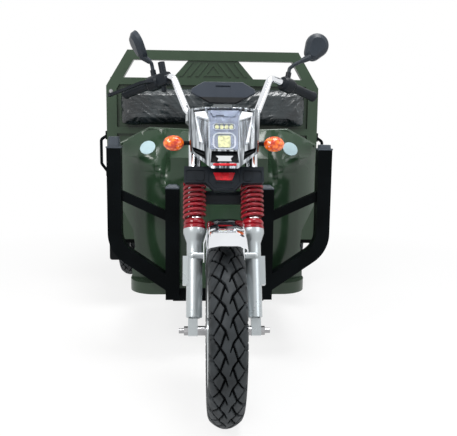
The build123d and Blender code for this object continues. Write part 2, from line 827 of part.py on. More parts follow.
# Floor pan: a pressed tray, open below, with rounded front corners and tread ribs
with BuildPart() as floor_pan:
    for inset, top, mode in ((0, pan_top, Mode.ADD), (pan_wall, pan_ceiling, Mode.SUBTRACT)):
        half = floor_half - inset
        rear = seat_front_y - 4 - inset
        front = pan_front + inset
        corner = 90 - inset
        with BuildSketch(Plane.XY.offset(pan_bottom)):
            with BuildLine():
                Polyline((half, front + corner), (half, rear), (-half, rear), (-half, front + corner))
                for side in (-1, 1):
                    ThreePointArc(
                        (side * half, front + corner),
                        (side * (half - 0.293 * corner), front + 0.293 * corner),
                        (side * (half - corner), front),
                    )
                Line((half - corner, front), (corner - half, front))
            make_face()
        extrude(amount=top - pan_bottom, mode=mode)
    block((-180, 180), (pan_front - 10, pan_front + 50), (pan_bottom - 1, 250.3), mode=Mode.SUBTRACT)
    block((-180, 180), (seat_front_y - 10, seat_front_y), (pan_bottom - 1, 250.3), mode=Mode.SUBTRACT)
    block((-40, 40), (pan_front - 10, pan_front + 90), (pan_bottom, pan_top + 1), mode=Mode.SUBTRACT)
    for i in range(9):
        with Locations((0, pan_front + 190 + 34 * i, pan_top)):
            Box(400, 8, 3, align=(Align.CENTER, Align.CENTER, Align.MIN))

# Leg shields: a wall with a hood that leans back above a falling crease
shield_thick = 5
shield_recess = 12
shield_top = 800
shield_foot = pan_top + seat_gap
# Each column: distance out, reach behind the front axle at the crease, the crease's height, reach at the top
shield_columns = [
    (88, 462, 690, 540), (165, 463, 690, 545), (182, 464, 600, 549), (199, 466, 645, 554),
    (218, 472, 672, 560), (275, 505, 698, 580), (330, 560, 728, 614), (352, 590, 742, 633),
]
shield_rows = [shield_foot, 420, 570, 600, 645, 672, 698, 742, shield_top]
shield_outline = [
    (88, shield_foot), (306, shield_foot), (304, 350), (293, 380), (300, 440), (330, 488), (351, 520),
    (351, 722), (342, 742), (240, 795), (88, 789),
]


def shield_y(reach, crease, top_reach, z):
    """How far back the skin lies in one column at a height."""
    if z >= crease:
        rise = (z - crease) / (shield_top - crease)
        return front_axle_y + reach + rise * (top_reach - reach)
    return front_axle_y + reach + min(1, (crease - z) / 20) * shield_recess


def build_shield(side):
    """One wing on the side's half of the vehicle, with a rolled bead along its top."""
    sections = []
    for z in shield_rows:
        front = [(side * x, shield_y(*column, z)) for x, *column in shield_columns]
        back = [(x, y + shield_thick * 1.25) for x, y in front]
        with BuildSketch(Plane.XY.offset(z)) as section:
            with BuildLine():
                Polyline(*front, *reversed(back), close=True)
            make_face()
        sections.append(section.sketch.face())
    loft(sections, ruled=True)
    with BuildSketch(Plane.XZ.offset(-front_axle_y - 300)) as edge:
        with BuildLine():
            Polyline(*[(side * x, z) for x, z in shield_outline], close=True)
        make_face()
    extrude(edge.sketch, amount=-400, mode=Mode.INTERSECT)
    bead = [
        Vector(side * x, front_axle_y + y, z)
        for x, y, z in ((95, 534, 787), (240, 564, 793), (342, 582, 740))
    ]
    for start, end in zip(bead, bead[1:]):
        rod(start, end, 6)
    for corner in bead:
        with Locations(corner):
            Sphere(6.3)


with BuildPart() as left_wing:
    build_shield(1)
with BuildPart() as right_wing:
    build_shield(-1)
with BuildPart() as leg_shields:
    add(left_wing.part)
    add(right_wing.part)

# Steering column cover between the wings, slotted for the down tube, with a raised frame
with BuildPart() as column_cover:
    for z, half, reach in ((shield_foot, 87.7, 458), (690, 87.7, 458), (789, 87.7, 533)):
        with BuildSketch(Plane.XY.offset(z)):
            with BuildLine():
                points = [(-half, reach + 4), (-half + 16, reach - 8), (half - 16, reach - 8), (half, reach + 4)]
                skin = [(x, front_axle_y + y) for x, y in points]
                Polyline(*skin, *[(x, y + shield_thick) for x, y in reversed(skin)], close=True)
            make_face()
    loft(ruled=True)
    block((-34, 34), (front_axle_y + 400, front_axle_y + 600), (610, 790), mode=Mode.SUBTRACT)
    with BuildSketch(Plane.XZ.offset(-front_axle_y - 451)):
        with Locations((0, 520)):
            RectangleRounded(84, 96, 8)
            RectangleRounded(72, 84, 6, mode=Mode.SUBTRACT)
    extrude(amount=5)

# Crash bars: square tube frames in front of the wings
bar_tube = 46
bar_in_x, bar_out_x = 157, 347
bar_y = front_axle_y + rail_front - 22 - bar_tube / 2
bar_bottom, bar_in_top, bar_out_top = 222, 598, 730


def build_crash_bar(side):
    """One frame: inner post, bent outer post and the sloping brace."""
    half = bar_tube / 2
    block(both(bar_in_x - half, bar_in_x + half, side), (bar_y - half, bar_y + half), (bar_bottom, bar_in_top))
    with BuildLine() as hoop:
        FilletPolyline(
            (side * bar_out_x, bar_y, bar_out_top),
            (side * bar_out_x, bar_y, 400),
            (side * bar_in_x, bar_y, 268),
            radius=95,
        )
    with BuildSketch(Plane(origin=hoop.line @ 0, x_dir=(1, 0, 0), z_dir=hoop.line % 0)) as tube:
        Rectangle(bar_tube, bar_tube)
    sweep(tube.sketch, path=hoop.line)
    with BuildLine() as brace:
        Line((side * bar_out_x, bar_y, 585), (side * bar_in_x, bar_y, 498))
    with BuildSketch(Plane(origin=brace.line @ 0, x_dir=(0, 1, 0), z_dir=brace.line % 0)) as tube:
        Rectangle(24, 30)
    sweep(tube.sketch, path=brace.line)


with BuildPart() as crash_bars:
    for side in (-1, 1):
        build_crash_bar(side)

# Seat base: a skirt of four walls, open below, on the outriggers
seat_box_top = 640
sheet = 4
seat_back_y = headboard_y - 6
seat_hinge_y = seat_front_y - hinge_out
seat_hinge_z = seat_box_top - 2
seat_hinges = (-300, 300)
knuckle_length = 50
with BuildPart() as seat_base:
    block((-seat_half, seat_half), (seat_front_y, seat_back_y), (outrigger_z[1], seat_box_top))
    block(
        (-seat_half + sheet, seat_half - sheet),
        (seat_front_y + sheet, seat_back_y + 1),
        (outrigger_z[1] - 1, seat_box_top - sheet),
        mode=Mode.SUBTRACT,
    )
    block(
        (-seat_half + 60, seat_half - 60),
        (seat_front_y + 60, seat_back_y - 40),
        (seat_box_top - 10, seat_box_top + 1),
        mode=Mode.SUBTRACT,
    )
    # pressed panel on the front wall
    with BuildSketch(Plane.XZ.offset(-seat_front_y)):
        with Locations((0, 480)):
            RectangleRounded(700, 240, 20)
            RectangleRounded(684, 224, 14, mode=Mode.SUBTRACT)
    extrude(amount=3)
    for x in seat_hinges:
        for way in (-1, 1):
            near = x + way * (knuckle_length / 2 + 1)
            far = near + way * 24
            rod((near, seat_hinge_y, seat_hinge_z), (far, seat_hinge_y, seat_hinge_z), knuckle_radius)
            block(tuple(sorted((near, far))), (seat_hinge_y, seat_front_y + 1), (seat_hinge_z - 24, seat_hinge_z))

battery_z = outrigger_z[1]
with BuildPart() as battery_block:
    block((-390, 390), (seat_front_y + 20, seat_front_y + 176), (battery_z, battery_z + 216))
    for x in (-195, 0, 195):
        block((x - 2, x + 2), (seat_front_y + 19, seat_front_y + 177), (battery_z + 8, battery_z + 220), mode=Mode.SUBTRACT)

lid_thick = 12
lid_bottom = seat_box_top + seat_gap
with BuildPart() as seat_lid:
    block((-seat_half, seat_half), (seat_front_y, seat_back_y - 20), (lid_bottom, lid_bottom + lid_thick))
    for x in seat_hinges:
        knuckle = (x - knuckle_length / 2, x + knuckle_length / 2)
        rod((knuckle[0], seat_hinge_y, seat_hinge_z), (knuckle[1], seat_hinge_y, seat_hinge_z), knuckle_radius)
        block(knuckle, (seat_hinge_y, seat_front_y), (seat_hinge_z, lid_bottom + lid_thick))
        block(knuckle, (seat_front_y - 1, seat_front_y + 1), (lid_bottom, lid_bottom + lid_thick))
cushion_thick = 75
with BuildPart() as seat_cushion:
    block(
        (-seat_half + 12, seat_half - 12),
        (seat_front_y - 8, seat_back_y - 38),
        (lid_bottom + lid_thick + seat_gap, lid_bottom + lid_thick + cushion_thick),
    )
    fillet(seat_cushion.edges().filter_by(Axis.Z), 30)
    fillet(seat_cushion.faces().sort_by(Axis.Z)[-1].edges(), 18)

# Headboard: welded tube frame with cut-off corners, a sheet and a stamped panel
post_wide = 48
post_deep = 40
shoulder_z, head_top = 985, 1150
head_top_half = 400
apron_bottom = 300
panel_front = headboard_y + 10
with BuildPart() as headboard:
    with BuildSketch(Plane.XZ.offset(-headboard_y)):
        with BuildLine():
            Polyline(
                (-bed_half, apron_bottom), (-bed_half, shoulder_z), (-head_top_half, head_top),
                (head_top_half, head_top), (bed_half, shoulder_z), (bed_half, apron_bottom), close=True,
            )
        make_face()
        with BuildLine():
            Polyline(
                (-bed_half + post_wide, apron_bottom + 34), (-bed_half + post_wide, shoulder_z - 14),
                (-head_top_half + 28, head_top - 44), (head_top_half - 28, head_top - 44),
                (bed_half - post_wide, shoulder_z - 14), (bed_half - post_wide, apron_bottom + 34), close=True,
            )
        make_face(mode=Mode.SUBTRACT)
    extrude(amount=-post_deep)
    for z in ((crossbar_bottom, floor_top), (764, 794), (992, 1024)):
        block((-bed_half + 20, bed_half - 20), (headboard_y, headboard_y + post_deep), z)
    block((-bed_half + 20, bed_half - 20), (headboard_y + 18, headboard_y + 22), (apron_bottom + 20, 1000))
    # stamped panel between the windows: triangle and slanted ribs
    with BuildSketch(Plane.XZ.offset(-panel_front)):
        with BuildLine():
            Polyline((-192, 1022), (-116, head_top - 42), (116, head_top - 42), (192, 1022), close=True)
        make_face()
    extrude(amount=-6)
    with BuildSketch(Plane.XZ.offset(-panel_front)):
        with BuildLine():
            Polyline((-46, 1036), (0, 1092), (46, 1036), close=True)
        make_face()
        with BuildLine():
            Polyline((-32, 1043), (0, 1081), (32, 1043), close=True)
        make_face(mode=Mode.SUBTRACT)
        for side in (-1, 1):
            for i in range(3):
                foot = 70 + 38 * i
                with BuildLine() as rib:
                    Polyline(
                        (side * foot, 1034), (side * (foot + 14), 1034), (side * (foot - 36), 1096),
                        (side * (foot - 50), 1096), close=True,
                    )
                make_face(rib.edges())
    extrude(amount=6)
    for side in (-1, 1):
        block(
            both(rail_half - 26, rail_half + 26, side), (headboard_y - 1, headboard_y + post_deep + 1),
            (rail_bottom - 6, crossbar_bottom), mode=Mode.SUBTRACT,
        )

with BuildPart() as backrest:
    block((-436, 436), (headboard_y - 58, headboard_y + 18 - seat_gap), (797, 986))
    fillet(backrest.edges().filter_by(Axis.Y), 14)
    fillet(backrest.faces().sort_by(Axis.Y)[0].edges(), 16)

# Bed floor: sheet on cross-bars, side members and rear corner posts
inner_y0 = headboard_y + post_deep
bed_bolts_x, bed_bolts_y = 760, 860
bed_bolts_middle = headboard_y + 600
post_size = panel_thick
with BuildPart() as bed_floor:
    block((-bed_half, bed_half), (inner_y0, bed_end_y), (floor_top - floor_sheet, floor_top))
    for side in (-1, 1):
        block(both(bed_half - 30, bed_half, side), (inner_y0, bed_end_y), (crossbar_bottom, floor_top - floor_sheet))
        block(
            both(bed_half - post_size, bed_half, side),
            (bed_end_y - post_size, bed_end_y),
            (floor_top, floor_top + panel_height),
        )
    block((-bed_half, bed_half), (bed_end_y - 30, bed_end_y), (crossbar_bottom, floor_top - floor_sheet))
    # bolt holes for a box or canopy
    with BuildSketch(Plane.XY.offset(floor_top)):
        with GridLocations(bed_bolts_x, bed_bolts_y, 2, 2):
            with Locations((0, bed_bolts_middle)):
                Circle(4.5)
    extrude(amount=-floor_sheet, mode=Mode.SUBTRACT)
    for y in (inner_y0 + 30, rear_axle_y - 100, rear_axle_y + 130, rear_axle_y + 360, bed_end_y - 180):
        block((-bed_half, bed_half), (y - 20, y + 20), (crossbar_bottom, floor_top - floor_sheet))

# Drop sides and tailgate: ribbed panels hinged at their lower outer edge
hinge_z = floor_top - 2
hinge_x = bed_half + hinge_out
side_y0 = inner_y0 + panel_gap
side_y1 = bed_end_y - post_size - panel_gap
panel_z0 = floor_top + panel_gap
panel_z1 = floor_top + panel_height
side_hinges = [side_y0 + (side_y1 - side_y0) * share for share in (0.12, 0.5, 0.88)]


def build_side(side):
    """A drop side: frame, recessed skin with upright ribs, hinge knuckles."""
    outer, inner = bed_half, bed_half - panel_thick
    block(both(inner, outer, side), (side_y0, side_y1), (panel_z0, panel_z1))
    bays = 4
    bay = (side_y1 - side_y0) / bays
    for i in range(bays):
        block(
            both(outer - 10, outer + 1, side),
            (side_y0 + i * bay + 22, side_y0 + (i + 1) * bay - 22),
            (panel_z0 + 34, panel_z1 - 34),
            mode=Mode.SUBTRACT,
        )
    for y in side_hinges:
        rod(
            (side * hinge_x, y - knuckle_length / 2, hinge_z),
            (side * hinge_x, y + knuckle_length / 2, hinge_z),
            knuckle_radius,
        )
        block(
            both(outer, hinge_x + 1, side),
            (y - knuckle_length / 2, y + knuckle_length / 2),
            (hinge_z, panel_z0 + 12),
        )


with BuildPart() as side_panel_left:
    build_side(1)
with BuildPart() as side_panel_right:
    build_side(-1)

gate_half = bed_half - post_size - panel_gap
hinge_y = bed_end_y + hinge_out
gate_hinges = (-gate_half * 0.7, 0, gate_half * 0.7)
with BuildPart() as tailgate:
    block((-gate_half, gate_half), (bed_end_y - panel_thick, bed_end_y), (panel_z0, panel_z1))
    for i in range(3):
        bay = 2 * gate_half / 3
        block(
            (-gate_half + i * bay + 22, -gate_half + (i + 1) * bay - 22),
            (bed_end_y - 10, bed_end_y + 1),
            (panel_z0 + 34, panel_z1 - 34),
            mode=Mode.SUBTRACT,
        )
    for x in gate_hinges:
        rod((x - knuckle_length / 2, hinge_y, hinge_z), (x + knuckle_length / 2, hinge_y, hinge_z), knuckle_radius)
        block(
            (x - knuckle_length / 2, x + knuckle_length / 2),
            (bed_end_y, hinge_y + 1),
            (hinge_z, panel_z0 + 12),
        )

# Fixed hinge halves and the loop handles on the bed's front corners
with BuildPart() as bed_hinges:
    for side in (-1, 1):
        for y in side_hinges:
            for way in (-1, 1):
                near = y + way * (knuckle_length / 2 + 1)
                far = near + way * 24
                rod((side * hinge_x, near, hinge_z), (side * hinge_x, far, hinge_z), knuckle_radius)
                block(both(bed_half, hinge_x, side), tuple(sorted((near, far))), (hinge_z - 30, hinge_z))
    for x in gate_hinges:
        for way in (-1, 1):
            near = x + way * (knuckle_length / 2 + 1)
            far = near + way * 24
            rod((near, hinge_y, hinge_z), (far, hinge_y, hinge_z), knuckle_radius)
            block(tuple(sorted((near, far))), (bed_end_y, hinge_y), (hinge_z - 30, hinge_z))

loop_out = 30
with BuildPart() as bed_hardware:
    for side in (-1, 1):
        y = headboard_y + post_deep / 2
        with BuildLine() as loop_path:
            FilletPolyline(
                (side * bed_half, y, 755), (side * (bed_half + loop_out), y, 735),
                (side * (bed_half + loop_out), y, 620), (side * bed_half, y, 580), radius=16,
            )
        with BuildSketch(Plane(origin=loop_path.line @ 0, z_dir=loop_path.line % 0)):
            Circle(7)
        sweep(path=loop_path.line)
        block(both(bed_half, bed_half + 8, side), (y - 12, y + 12), (735, 775))
        block(both(bed_half, bed_half + 8, side), (y - 12, y + 12), (562, 592))
        block(both(bed_half - 30, bed_half, side), (y - 15, y + 15), (560, 780), mode=Mode.SUBTRACT)
    add(bed_hinges.part)

# Rear axle: housing, differential and motor, brake back plates, shafts
housing_half = 330
drum_face = rear_track / 2 - hub_half - 6
with BuildPart() as rear_axle:
    centre = Vector(0, rear_axle_y, axle_z)
    rod(centre - Vector(housing_half, 0, 0), centre + Vector(housing_half, 0, 0), 28)
    rod(centre - Vector(rear_track / 2 + hub_half + 16, 0, 0), centre + Vector(rear_track / 2 + hub_half + 16, 0, 0), shaft_radius)
    with Locations(centre):
        Sphere(88)
    rod(centre + Vector(-150, -52, 12), centre + Vector(-10, -52, 12), 74)
    for side in (-1, 1):
        rod(centre + Vector(side * housing_half, 0, 0), centre + Vector(side * drum_face, 0, 0), 92)
        tip = centre + Vector(side * (rear_track / 2 + hub_half + seat_gap), 0, 0)
        with BuildSketch(Plane(origin=tip, x_dir=(0, 1, 0), z_dir=(side, 0, 0))):
            RegularPolygon(24, 6)
        extrude(amount=10)

# Leaf springs under the rails, clamped on the axle
leaf_count = 5
leaf_thick = 7
leaf_width = 46
leaf_half = 290
leaf_rise = 70
pack_bottom = axle_z + 28 + 6
with BuildPart() as leaf_springs:
    for side in (-1, 1):
        for i in range(leaf_count):
            half = leaf_half * (1 - 0.17 * (leaf_count - 1 - i))
            share = (half / leaf_half) ** 2
            low = pack_bottom + i * leaf_thick
            with BuildSketch(Plane.YZ.offset(side * rail_half - leaf_width / 2)):
                with BuildLine():
                    under = ThreePointArc(
                        (rear_axle_y - half, low + leaf_rise * share), (rear_axle_y, low),
                        (rear_axle_y + half, low + leaf_rise * share),
                    )
                    over = ThreePointArc(
                        (rear_axle_y - half, low + leaf_rise * share + leaf_thick), (rear_axle_y, low + leaf_thick),
                        (rear_axle_y + half, low + leaf_rise * share + leaf_thick),
                    )
                    Line(under @ 0, over @ 0)
                    Line(under @ 1, over @ 1)
                make_face()
            extrude(amount=leaf_width)
        block(
            both(rail_half - 30, rail_half + 30, side),
            (rear_axle_y - 40, rear_axle_y + 40),
            (axle_z + 28, pack_bottom + leaf_count * leaf_thick + 10),
        )
        eye_z = pack_bottom + (leaf_count - 0.5) * leaf_thick + leaf_rise
        for way in (-1, 1):
            y = rear_axle_y + way * leaf_half
            block(
                both(rail_half - 26, rail_half + 26, side), (y - 22, y + 22), (eye_z - 16, rail_bottom),
            )

# Mudguards over the rear wheels
guard_radius = crossbar_bottom - axle_z
guard_thick = 4
guard_front, guard_back = 87, 78
with BuildPart() as rear_mudguards:
    for side in (-1, 1):
        with BuildSketch(rim_plane(Vector(0, rear_axle_y, axle_z), guard_front)):
            with BuildLine():
                x0, x1 = side * 362, side * 494
                r0, r1 = guard_radius - 22, guard_radius
                t = side * guard_thick
                Polyline(
                    (x0, r0), (x0, r1), (x1, r1), (x1, r0), (x1 - t, r0), (x1 - t, r1 - guard_thick),
                    (x0 + t, r1 - guard_thick), (x0 + t, r0), close=True,
                )
            make_face()
        revolve(axis=Axis((0, rear_axle_y, axle_z), (1, 0, 0)), revolution_arc=-guard_front - guard_back)

# Tail: lamp bar, lamps and blank number plate
tail_z = (rail_bottom + 2, rail_bottom + 38)
tail_y = (bed_end_y - 78, bed_end_y - 42)
plate_hole_x = 80
plate_hole_z = rail_bottom - 20
with BuildPart() as tail_bar:
    for side in (-1, 1):
        block(both(rail_half + rail_width / 2, 470, side), tail_y, tail_z)
    block((-120, 120), (bed_end_y - 42, bed_end_y - 36), (rail_bottom - 70, rail_bottom + 40))
    with BuildSketch(Plane.XZ.offset(-bed_end_y + 42)):
        with Locations((-plate_hole_x, plate_hole_z), (plate_hole_x, plate_hole_z)):
            Circle(3.5)
    extrude(amount=-6, mode=Mode.SUBTRACT)
with BuildPart() as tail_lamps:
    for side in (-1, 1):
        block(both(330, 460, side), (bed_end_y - 42, bed_end_y - 14), (tail_z[0] - 4, tail_z[1] + 4))
        fillet(tail_lamps.edges().filter_by(Axis.Y).group_by(Axis.X)[0 if side < 0 else -1], 10)

# Foot brake pedal and the black box under the seat's right rear corner
with BuildPart() as brake_pedal:
    block((-142, -130), (front_axle_y + 520, front_axle_y + 540), (pan_top, pan_top + 70))
    block((-165, -107), (front_axle_y + 540, front_axle_y + 552), (pan_top + 30, pan_top + 85))

with BuildPart() as side_box:
    block((-497, -400), (headboard_y + 6, headboard_y + 58), (151.7, 299.7))
    fillet(side_box.edges().filter_by(Axis.Y).group_by(Axis.Z)[0], 12)

# Caps on the crash bars' open ends
with BuildPart() as bar_caps:
    for side in (-1, 1):
        inner = Plane.XY.offset(bar_in_top + seat_gap)
        with BuildSketch(inner):
            with Locations((side * bar_in_x, bar_y)):
                Rectangle(bar_tube, bar_tube)
        extrude(amount=4)
        with BuildSketch(inner.offset(4)):
            with Locations((side * bar_in_x, bar_y)):
                Rectangle(bar_tube, bar_tube)
        extrude(amount=9, taper=50)
    for side, tall in ((-1, 32), (1, 12)):
        outer = Plane.XY.offset(bar_out_top + seat_gap)
        with BuildSketch(outer):
            with Locations((side * bar_out_x, bar_y)):
                Rectangle(bar_tube + 3, bar_tube + 3)
        extrude(amount=5)
        with BuildSketch(outer.offset(5)):
            with Locations((side * bar_out_x, bar_y)):
                RectangleRounded(bar_tube - 6, bar_tube - 6, 8)
        extrude(amount=tall, taper=6)

pieces = {
    "fork_sliders": fork_sliders, "fork_stanchions": fork_stanchions, "fork_springs": fork_springs,
    "steering_yokes": steering_yokes, "handlebar": handlebar, "hand_controls": hand_controls,
    "mirrors": mirrors, "mirror_glass": mirror_glass, "front_fender": front_fender, "front_axle": front_axle,
    "front_tyre": front_tyre, "front_rim": front_rim, "rear_tyre_left": rear_tyre_left,
    "rear_rim_left": rear_rim_left, "rear_tyre_right": rear_tyre_right, "rear_rim_right": rear_rim_right,
    "yoke_shroud": yoke_shroud, "headlamp_cowl": headlamp_cowl, "headlamp_lens": headlamp_lens,
    "front_reflectors": front_reflectors,
    "lamp_housing": lamp_housing, "cowl_grilles": cowl_grilles, "lamp_trim": lamp_trim, "lamp_leds": lamp_leds,
    "light_guides": light_guides, "display": display,
    "instrument_pod": instrument_pod, "front_signals": front_signals,
    "signal_stalks": signal_stalks,
    "chassis_frame": chassis_frame, "steering_head": steering_head, "floor_pan": floor_pan,
    "leg_shields": leg_shields, "column_cover": column_cover,
    "crash_bars": crash_bars, "seat_base": seat_base, "bar_caps": bar_caps,
    "battery_block": battery_block, "seat_lid": seat_lid, "seat_cushion": seat_cushion,
    "headboard": headboard, "backrest": backrest, "bed_floor": bed_floor,
    "side_panel_left": side_panel_left, "side_panel_right": side_panel_right, "tailgate": tailgate,
    "bed_hardware": bed_hardware, "rear_axle": rear_axle, "leaf_springs": leaf_springs,
    "rear_mudguards": rear_mudguards, "tail_bar": tail_bar, "tail_lamps": tail_lamps,
    "brake_pedal": brake_pedal, "side_box": side_box,
}
for label, piece in pieces.items():
    piece.part.label = label
    export_step(piece.part, f"parts/{label}.step")
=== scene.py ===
"""Looks of the electric cargo tricycle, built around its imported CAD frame."""

import json
from math import cos, pi, radians, sin

import bmesh
import bpy
from mathutils import Matrix, Vector
from mathutils.bvhtree import BVHTree
from mathutils.noise import noise as perlin


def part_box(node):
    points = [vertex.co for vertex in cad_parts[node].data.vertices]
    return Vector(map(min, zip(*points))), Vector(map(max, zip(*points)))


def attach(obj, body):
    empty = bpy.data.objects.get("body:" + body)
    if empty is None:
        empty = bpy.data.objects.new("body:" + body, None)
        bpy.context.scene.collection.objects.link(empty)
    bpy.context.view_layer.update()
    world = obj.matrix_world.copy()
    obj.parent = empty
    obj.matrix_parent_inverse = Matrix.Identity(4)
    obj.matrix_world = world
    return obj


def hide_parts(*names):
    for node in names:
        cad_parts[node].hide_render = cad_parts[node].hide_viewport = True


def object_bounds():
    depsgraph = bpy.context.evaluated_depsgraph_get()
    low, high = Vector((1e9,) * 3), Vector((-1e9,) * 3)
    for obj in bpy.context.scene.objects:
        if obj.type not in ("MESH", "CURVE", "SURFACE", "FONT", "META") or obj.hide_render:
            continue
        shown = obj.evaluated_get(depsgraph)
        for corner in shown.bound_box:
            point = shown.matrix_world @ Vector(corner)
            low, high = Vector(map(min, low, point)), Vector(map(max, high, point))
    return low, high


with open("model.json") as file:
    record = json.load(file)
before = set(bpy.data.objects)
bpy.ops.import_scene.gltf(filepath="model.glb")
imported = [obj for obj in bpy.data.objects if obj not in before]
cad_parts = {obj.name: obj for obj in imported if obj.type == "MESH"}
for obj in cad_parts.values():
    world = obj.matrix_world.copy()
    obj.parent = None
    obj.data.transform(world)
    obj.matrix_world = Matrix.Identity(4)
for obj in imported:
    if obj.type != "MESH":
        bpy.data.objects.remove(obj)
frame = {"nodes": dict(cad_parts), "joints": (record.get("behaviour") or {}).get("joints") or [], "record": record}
cad_box = [list(corner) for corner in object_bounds()]
nodes = frame["nodes"]
places = {joint["name"]: Vector(joint["pos_m"]) for joint in frame["joints"]}
slot_of = {part["node"]: part["material_slot"] for part in frame["record"]["subparts"]}
FRONT_HUB = places["front_wheel_spin"]

# Camera, in metres and degrees, its distance counted from the front hub
LENS, SENSOR = 48.18, 36.0
CAMERA_X, CAMERA_AHEAD, CAMERA_HEIGHT = -0.0795, 1.6011, 0.8071
PITCH_DOWN, YAW, ROLL = 8.6, 3.1, 0.7

# Colours, linear
GREEN = (0.018, 0.038, 0.019)
DEEP_GREEN = (0.017, 0.040, 0.020)
BLACK_PAINT = (0.0012, 0.0022, 0.0028)
GREY_PLASTIC = (0.023, 0.030, 0.042)
BLACK_LIFT = 0.0005

# Smoothing, in metres and degrees
WELD_GAP = 0.00002
CAD_CREASE, MESH_CREASE, TYRE_CREASE = 30, 32, 28


# Material helpers


def nodes_of(name):
    """A new material with its node tree and its shader."""
    made = bpy.data.materials.new(name)
    made.use_nodes = True
    tree = made.node_tree
    tree.nodes.clear()
    out = tree.nodes.new("ShaderNodeOutputMaterial")
    shader = tree.nodes.new("ShaderNodeBsdfPrincipled")
    tree.links.new(shader.outputs["BSDF"], out.inputs["Surface"])
    return made, tree, shader


def own_place(tree):
    """Where a point lies, in the object's own metres."""
    return tree.nodes.new("ShaderNodeTexCoord").outputs["Object"]


def axes(tree):
    """The object's own X, Y and Z at a point."""
    apart = tree.nodes.new("ShaderNodeSeparateXYZ")
    tree.links.new(own_place(tree), apart.inputs[0])
    return apart.outputs


def maths(tree, operation, *values):
    """The result of a math node on sockets and numbers."""
    node = tree.nodes.new("ShaderNodeMath")
    node.operation = operation
    for socket, value in zip(node.inputs, values):
        if isinstance(value, float):
            socket.default_value = value
        else:
            tree.links.new(value, socket)
    return node.outputs[0]


def noise(tree, scale, detail=4.0, stretch=(1, 1, 1), slant=0.0, place=None):
    """Noise in the object's own metres, or over another place."""
    mapping = tree.nodes.new("ShaderNodeMapping")
    mapping.inputs["Rotation"].default_value = (0, slant, 0)
    mapping.inputs["Scale"].default_value = stretch
    texture = tree.nodes.new("ShaderNodeTexNoise")
    texture.inputs["Scale"].default_value = scale
    texture.inputs["Detail"].default_value = detail
    tree.links.new(place or own_place(tree), mapping.inputs["Vector"])
    tree.links.new(mapping.outputs["Vector"], texture.inputs["Vector"])
    return texture.outputs["Fac"]


def ramp(tree, value, low, high, dark, light):
    """A colour ramp over a value."""
    node = tree.nodes.new("ShaderNodeValToRGB")
    first, last = node.color_ramp.elements
    first.position = low
    first.color = (*dark, 1)
    last.position = high
    last.color = (*light, 1)
    tree.links.new(value, node.inputs["Fac"])
    return node.outputs["Color"]


def spread(tree, value, low, high, start=0.3, end=0.7):
    """A value mapped from one range to another."""
    node = tree.nodes.new("ShaderNodeMapRange")
    node.inputs["From Min"].default_value = start
    node.inputs["From Max"].default_value = end
    node.inputs["To Min"].default_value = low
    node.inputs["To Max"].default_value = high
    tree.links.new(value, node.inputs["Value"])
    return node.outputs["Result"]


def bump(tree, shader, value, strength, depth):
    """Bump from a value."""
    node = tree.nodes.new("ShaderNodeBump")
    node.inputs["Strength"].default_value = strength
    node.inputs["Distance"].default_value = depth
    tree.links.new(value, node.inputs["Height"])
    tree.links.new(node.outputs["Normal"], shader.inputs["Normal"])


def paint(tree, shader, colour, roughness):
    """Gives a shader its varied colour and roughness."""
    tree.links.new(colour, shader.inputs["Base Color"])
    tree.links.new(roughness, shader.inputs["Roughness"])


def looked_at(tree):
    """1 where the camera, a reflection or a clear piece looks, and 0 for light."""
    path = tree.nodes.new("ShaderNodeLightPath")
    seen = path.outputs["Is Camera Ray"]
    for kind in ("Is Glossy Ray", "Is Transmission Ray"):
        seen = maths(tree, "MAXIMUM", seen, path.outputs[kind])
    return seen


# Materials


def surface(
    name, colour, rough, metal=0.0, coat=0.0, vary=0.12, blotch=9.0, grain=None, specular=0.5
):
    """A paint, metal, rubber or plastic with blotchy colour, uneven gloss and a fine grain."""
    made, tree, shader = nodes_of(name)
    dark = tuple(c * (1 - vary) for c in colour)
    light = tuple(min(1, c * (1 + vary) + BLACK_LIFT) for c in colour)
    tone = ramp(tree, noise(tree, blotch), low=0.35, high=0.65, dark=dark, light=light)
    paint(tree, shader, tone, spread(tree, noise(tree, blotch * 3), *rough))
    shader.inputs["Metallic"].default_value = metal
    shader.inputs["Specular IOR Level"].default_value = specular
    shader.inputs["Coat Weight"].default_value = coat
    shader.inputs["Coat Roughness"].default_value = 0.06
    if grain:
        scale, strength, depth = grain
        bump(tree, shader, noise(tree, scale, 3.0), strength, depth)
    return made


def plastic(name, colour, rough, strength, specular):
    """A moulded plastic with a fine grain."""
    return surface(name, colour, rough, grain=(1200, strength, 0.0003), specular=specular)


def shaded_below(name, shade_line, upper, lower):
    """A moulded plastic shell, darker below a height: painted shade under its lower lip."""
    made = plastic(name, upper, (0.38, 0.5), strength=0.12, specular=0.25)
    tree = made.node_tree
    above = maths(tree, "GREATER_THAN", axes(tree)["Z"], shade_line)
    tone = ramp(tree, above, low=0.0, high=1.0, dark=lower, light=upper)
    tree.links.new(tone, tree.nodes["Principled BSDF"].inputs["Base Color"])
    return made


def reflection_streaked(name, dark, light, rough, stretch, scale, low, high):
    """Bright plating with painted streaked reflections: its colour runs dark to light in streaks, and a wavy bump
    follows them.
    """
    made, tree, shader = nodes_of(name)
    pattern = noise(tree, scale, 5.0, stretch)
    paint(tree, shader, ramp(tree, pattern, low, high, dark, light), spread(tree, pattern, *rough))
    shader.inputs["Metallic"].default_value = 1.0
    bump(tree, shader, pattern, strength=0.12, depth=0.002)
    return made


def glass(name, colour, rough, clear, ior):
    """A clear or tinted moulding, seen through by the share given."""
    made, tree, shader = nodes_of(name)
    dark = tuple(c * 0.95 for c in colour)
    tone = ramp(tree, noise(tree, 40), low=0.3, high=0.7, dark=dark, light=colour)
    paint(tree, shader, tone, spread(tree, noise(tree, 60), rough * 0.7, rough * 1.4))
    shader.inputs["IOR"].default_value = ior
    shader.inputs["Transmission Weight"].default_value = clear
    bump(tree, shader, noise(tree, 90, 2.0), strength=0.05, depth=0.0005)
    return made


